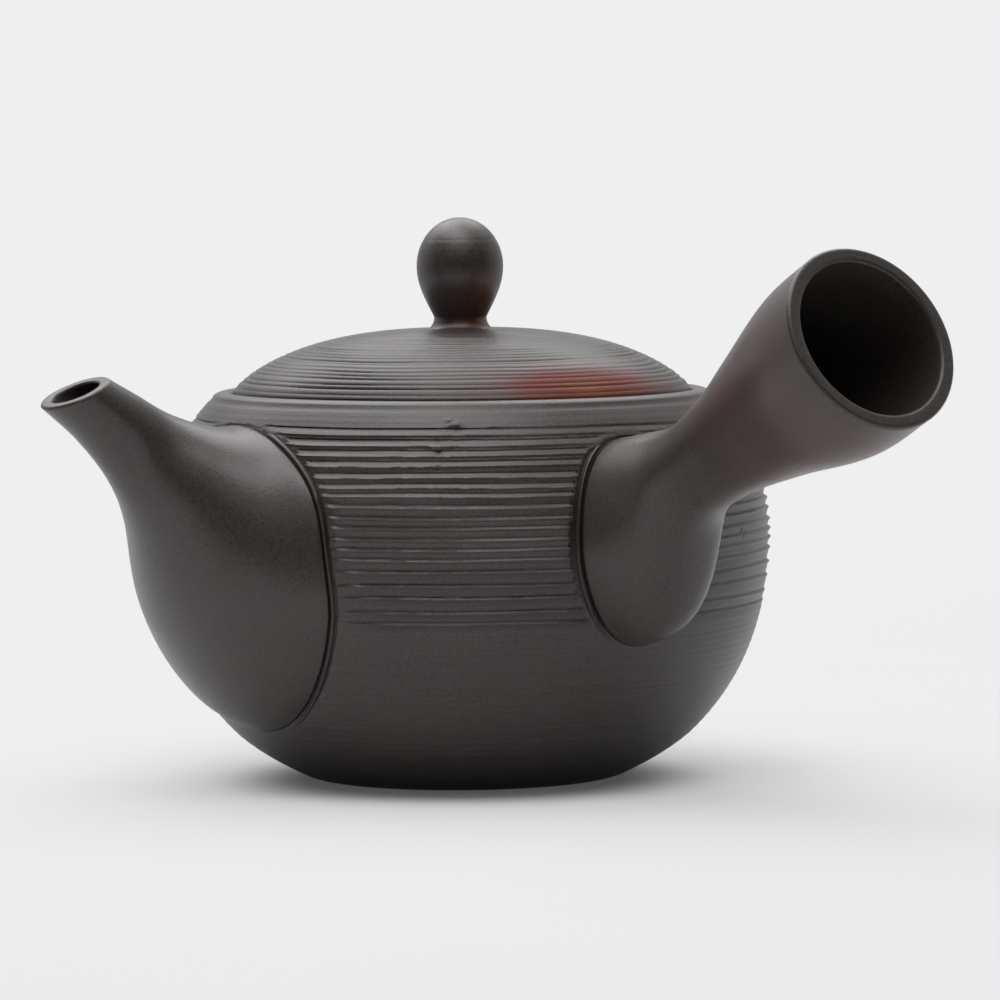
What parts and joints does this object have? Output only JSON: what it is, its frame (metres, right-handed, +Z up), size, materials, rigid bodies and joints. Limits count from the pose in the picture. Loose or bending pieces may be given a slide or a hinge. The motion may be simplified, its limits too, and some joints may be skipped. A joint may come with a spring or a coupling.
{
  "type": "side-handled teapot",
  "caption": "Side-handled stoneware teapot: round comb-turned body, drawn spout with a pierced strainer, hollow flared handle and a domed lift-off lid with a ball knob.",
  "frame": {"origin": "centre of the flat base, on the surface that the pot stands on", "axes": "+Z up along the turning axis, spout towards -X, handle towards -Y"},
  "size_m": [0.134, 0.1693, 0.0943],
  "materials": {
    "pot_clay": "unglazed dark grey-brown stoneware, semi-matte",
    "coil_clay": "unglazed stoneware, darker in the joint",
    "lid_clay": "unglazed stoneware with a red-brown flash"
  },
  "bodies": {
    "pot": {"body": "pot_clay", "spout": "pot_clay", "spout_coil": "coil_clay", "handle": "pot_clay", "handle_coil": "coil_clay", "strainer": "pot_clay"},
    "lid": {"lid": "lid_clay", "knob": "lid_clay"}
  },
  "joints": [
    {"name": "lid_lift", "type": "slide", "parent": "pot", "child": "lid", "axis": [0, 0, 1], "range_m": [0, 0.08]}
  ]
}
